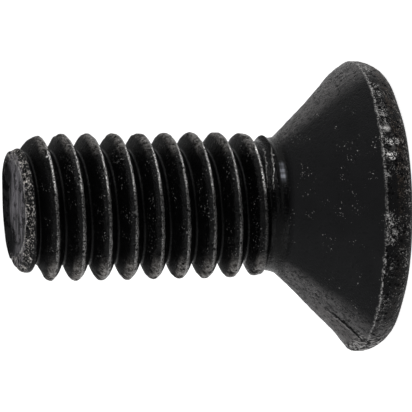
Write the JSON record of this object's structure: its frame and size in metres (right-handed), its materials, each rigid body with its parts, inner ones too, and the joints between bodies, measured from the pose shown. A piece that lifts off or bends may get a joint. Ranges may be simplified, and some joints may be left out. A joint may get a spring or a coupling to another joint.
{
  "type": "countersunk socket screw",
  "caption": "Short countersunk screw with a flat head, hexagon socket and full-length rolled metric thread, in blackened steel.",
  "frame": {"origin": "centre of the head's flat face, on the thread's axis; the screw stands on its head", "axes": "+Z along the thread's axis from the head to the tip; +X across two flats' corner of the socket, the way the drawn thread's start is counted from"},
  "size_m": [0.0078, 0.0078, 0.01],
  "materials": {
    "blackened_steel": "black oxide on cold-headed and thread-rolled steel, oiled, worn bright on its sharp edges"
  },
  "bodies": {
    "root": {"screw": "blackened_steel"}
  },
  "joints": []
}
